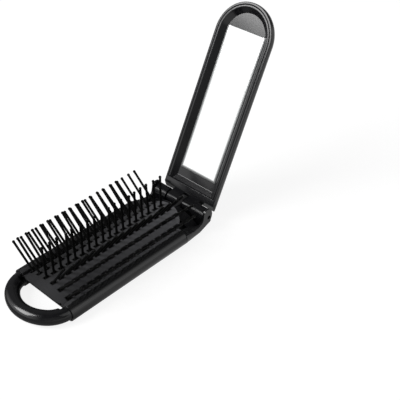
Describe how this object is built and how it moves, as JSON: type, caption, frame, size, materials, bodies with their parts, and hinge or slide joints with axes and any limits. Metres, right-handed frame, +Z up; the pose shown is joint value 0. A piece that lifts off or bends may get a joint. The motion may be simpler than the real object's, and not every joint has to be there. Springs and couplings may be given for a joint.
{
  "type": "folding hairbrush with mirror",
  "caption": "Pocket hairbrush with ball-tipped bristles through a sliding perforated sleeve, a carrying loop, and a hinged lid with a mirror inside.",
  "frame": {"origin": "on the flat underside of the sleeve's back, under the middle of the loop-to-hinge length, on the brush's centre line", "axes": "+X along the brush from the carrying loop to the hinge, +Y across the brush, +Z up from the underside through the bristles"},
  "size_m": [0.1352, 0.0426, 0.0835],
  "materials": {
    "frame_gloss_black": "moulded gloss",
    "carrier_black": "moulded matte",
    "steel_screw": "plain",
    "bristle_nylon": "smooth nylon",
    "steel_pin": "ground",
    "sleeve_satin_black": "fine satin",
    "lid_gloss_black": "moulded gloss",
    "bezel_gloss_black": "moulded gloss",
    "adhesive_foam": "foam tape",
    "mirror_silver": "polished"
  },
  "bodies": {
    "frame": {"loop_frame": "frame_gloss_black", "strip_carrier": "carrier_black", "carrier_screws": "steel_screw", "bristle_row_1": "bristle_nylon", "bristle_row_2": "bristle_nylon", "bristle_row_3": "bristle_nylon", "bristle_row_4": "bristle_nylon", "bristle_row_5": "bristle_nylon", "bristle_row_6": "bristle_nylon", "hinge_pin_near": "steel_pin", "hinge_pin_far": "steel_pin"},
    "sleeve": {"sleeve": "sleeve_satin_black", "sleeve_back": "sleeve_satin_black"},
    "lid": {"lid_shell": "lid_gloss_black", "grip_panel": "lid_gloss_black", "lid_bezel": "bezel_gloss_black", "mirror_pad": "adhesive_foam", "mirror_glass": "mirror_silver"}
  },
  "joints": [
    {"name": "lid_hinge", "type": "hinge", "parent": "frame", "child": "lid", "pos_m": [0.044, 0, 0.00593], "axis": [0, 1, 0], "range_deg": [-117.7, 0], "deforming": ["bristle_row_1", "bristle_row_2", "bristle_row_3", "bristle_row_4", "bristle_row_5", "bristle_row_6"]},
    {"name": "sleeve_slide", "type": "slide", "parent": "frame", "child": "sleeve", "axis": [1, 0, 0], "range_m": [-0.0021, 0]}
  ],
  "couplings": [
    {"joint": "sleeve_slide", "follows": "lid_hinge", "m_per_rad": 0.00097359}
  ]
}
